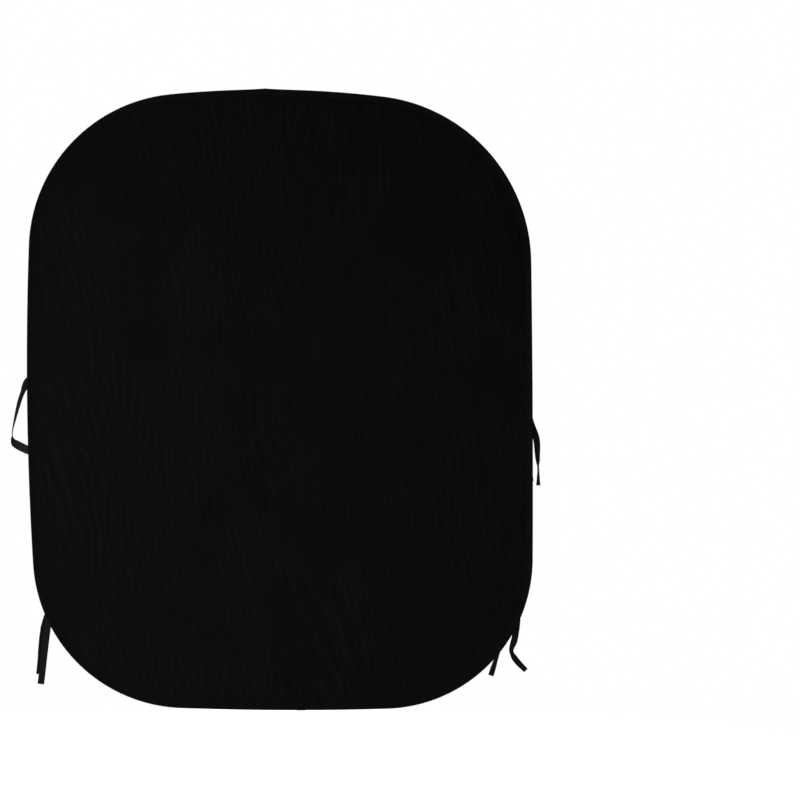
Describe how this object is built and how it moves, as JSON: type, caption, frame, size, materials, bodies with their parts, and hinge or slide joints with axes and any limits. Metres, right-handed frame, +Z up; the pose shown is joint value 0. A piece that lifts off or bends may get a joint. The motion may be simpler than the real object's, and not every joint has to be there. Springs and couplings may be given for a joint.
{
  "type": "collapsible backdrop panel",
  "caption": "Reversible pop-up studio backdrop: black and grey cloths held taut by a closed spring-steel hoop inside a bound rim, with tie tapes and a carry handle.",
  "frame": {"origin": "the outer edge of the rim at the top, where a background stand's clip grips the panel", "axes": "+X to the right as the black face is seen, +Y towards the grey face, +Z up"},
  "size_m": [1.5702, 0.0305, 1.8394],
  "materials": {
    "black_cloth": "matte stretch-woven polyester, black",
    "grey_cloth": "matte stretch-woven polyester, mid grey",
    "binding_tape": "charcoal woven edge tape",
    "tie_tape": "black woven tape",
    "webbing": "black woven webbing",
    "thread": "black polyester sewing thread",
    "wrap_tape": "black cloth tape",
    "spring_steel": "blued spring steel, satin",
    "splice_steel": "zinc-plated steel"
  },
  "bodies": {
    "panel": {"hoop_band": "spring_steel", "splice_sleeve": "splice_steel", "splice_rivets": "splice_steel", "splice_wrap": "wrap_tape", "black_cloth": "black_cloth", "grey_cloth": "grey_cloth", "edge_binding": "binding_tape", "seam_thread_black": "thread", "seam_thread_grey": "thread", "tie_bar_tacks": "thread", "handle_ends": "webbing", "handle_stitches": "thread", "tie_upper_left_anchor": "tie_tape", "tie_upper_right_anchor": "tie_tape", "tie_middle_right_anchor": "tie_tape", "tie_lower_left_anchor": "tie_tape", "tie_lower_right_anchor": "tie_tape"},
    "tie_upper_left_inner_tail": {"tie_upper_left_inner_tail": "tie_tape"},
    "tie_upper_left_outer_tail": {"tie_upper_left_outer_tail": "tie_tape"},
    "tie_upper_right_inner_tail": {"tie_upper_right_inner_tail": "tie_tape"},
    "tie_upper_right_outer_tail": {"tie_upper_right_outer_tail": "tie_tape"},
    "tie_middle_right_inner_tail": {"tie_middle_right_inner_tail": "tie_tape"},
    "tie_middle_right_outer_tail": {"tie_middle_right_outer_tail": "tie_tape"},
    "tie_lower_left_inner_tail": {"tie_lower_left_inner_tail": "tie_tape"},
    "tie_lower_left_outer_tail": {"tie_lower_left_outer_tail": "tie_tape"},
    "tie_lower_right_inner_tail": {"tie_lower_right_inner_tail": "tie_tape"},
    "tie_lower_right_outer_tail": {"tie_lower_right_outer_tail": "tie_tape"},
    "handle_loop": {"handle_loop": "webbing"}
  },
  "joints": [
    {"name": "tie_upper_left_inner_swing", "type": "hinge", "parent": "panel", "child": "tie_upper_left_inner_tail", "pos_m": [-0.685, 0.0082, -0.4105], "axis": [1, 0, 0], "range_deg": [0, 150]},
    {"name": "tie_upper_left_outer_swing", "type": "hinge", "parent": "panel", "child": "tie_upper_left_outer_tail", "pos_m": [-0.701, 0.0082, -0.4105], "axis": [1, 0, 0], "range_deg": [0, 150]},
    {"name": "tie_upper_right_inner_swing", "type": "hinge", "parent": "panel", "child": "tie_upper_right_inner_tail", "pos_m": [0.672, 0.0082, -0.3965], "axis": [1, 0, 0], "range_deg": [0, 150]},
    {"name": "tie_upper_right_outer_swing", "type": "hinge", "parent": "panel", "child": "tie_upper_right_outer_tail", "pos_m": [0.689, 0.0082, -0.3965], "axis": [1, 0, 0], "range_deg": [0, 150]},
    {"name": "tie_middle_right_inner_swing", "type": "hinge", "parent": "panel", "child": "tie_middle_right_inner_tail", "pos_m": [0.716, 0.0082, -0.9425], "axis": [1, 0, 0], "range_deg": [0, 150]},
    {"name": "tie_middle_right_outer_swing", "type": "hinge", "parent": "panel", "child": "tie_middle_right_outer_tail", "pos_m": [0.7315, 0.0082, -0.9425], "axis": [1, 0, 0], "range_deg": [0, 150]},
    {"name": "tie_lower_left_inner_swing", "type": "hinge", "parent": "panel", "child": "tie_lower_left_inner_tail", "pos_m": [-0.68, 0.0082, -1.5225], "axis": [1, 0, 0], "range_deg": [0, 150]},
    {"name": "tie_lower_left_outer_swing", "type": "hinge", "parent": "panel", "child": "tie_lower_left_outer_tail", "pos_m": [-0.6915, 0.0082, -1.5225], "axis": [1, 0, 0], "range_deg": [0, 150]},
    {"name": "tie_lower_right_inner_swing", "type": "hinge", "parent": "panel", "child": "tie_lower_right_inner_tail", "pos_m": [0.688, 0.0082, -1.5125], "axis": [1, 0, 0], "range_deg": [0, 150]},
    {"name": "tie_lower_right_outer_swing", "type": "hinge", "parent": "panel", "child": "tie_lower_right_outer_tail", "pos_m": [0.704, 0.0082, -1.5125], "axis": [1, 0, 0], "range_deg": [0, 150]},
    {"name": "handle_swing", "type": "hinge", "parent": "panel", "child": "handle_loop", "pos_m": [-0.7535, 0.0075, -0.9665], "axis": [0, 0, -1], "range_deg": [-45, 135]}
  ]
}
